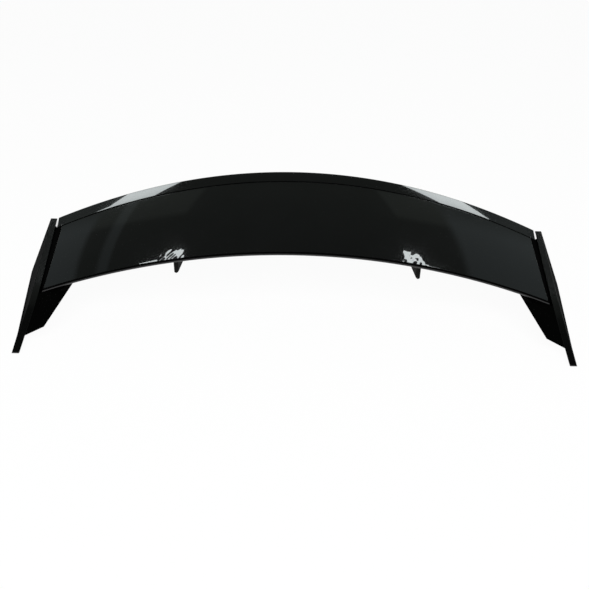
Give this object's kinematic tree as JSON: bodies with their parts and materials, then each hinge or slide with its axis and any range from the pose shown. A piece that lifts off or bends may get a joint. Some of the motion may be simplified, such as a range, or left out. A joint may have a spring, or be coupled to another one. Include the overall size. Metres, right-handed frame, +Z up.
{
  "type": "car rear spoiler",
  "caption": "Arched roof spoiler for a hatchback: a glossy black blade with a flush cover panel, leaning end plates, hollow legs and slim support fins.",
  "frame": {"origin": "midway across and along the spoiler, on the level of the lowest tips of the end plates", "axes": "+X to the car's right, +Y forward, +Z up"},
  "size_m": [1.2652, 0.4096, 0.2749],
  "materials": {
    "gloss_black": "polished black lacquer",
    "panel_black": "polished black lacquer",
    "plate_black": "polished black lacquer",
    "leg_black": "black lacquer",
    "fin_grey": "satin dark grey, fine grained",
    "foam": "closed-cell adhesive foam",
    "brass": "turned brass",
    "zinc": "zinc plated"
  },
  "bodies": {
    "root": {"blade_lower_shell": "gloss_black", "blade_cover_panel": "panel_black", "end_plate_right": "plate_black", "end_plate_left": "plate_black", "leg_right": "leg_black", "leg_left": "leg_black", "support_fin_right": "fin_grey", "support_fin_left": "fin_grey", "foot_pad_right": "foam", "foot_pad_left": "foam", "fin_pad_right": "foam", "fin_pad_left": "foam", "foot_insert_rear_right": "brass", "foot_insert_rear_left": "brass", "foot_insert_front_right": "brass", "foot_insert_front_left": "brass", "leg_screw_rear_right": "zinc", "leg_screw_rear_left": "zinc", "leg_screw_front_right": "zinc", "leg_screw_front_left": "zinc", "fin_screw_rear_right": "zinc", "fin_screw_rear_left": "zinc", "fin_screw_front_right": "zinc", "fin_screw_front_left": "zinc"}
  },
  "joints": []
}
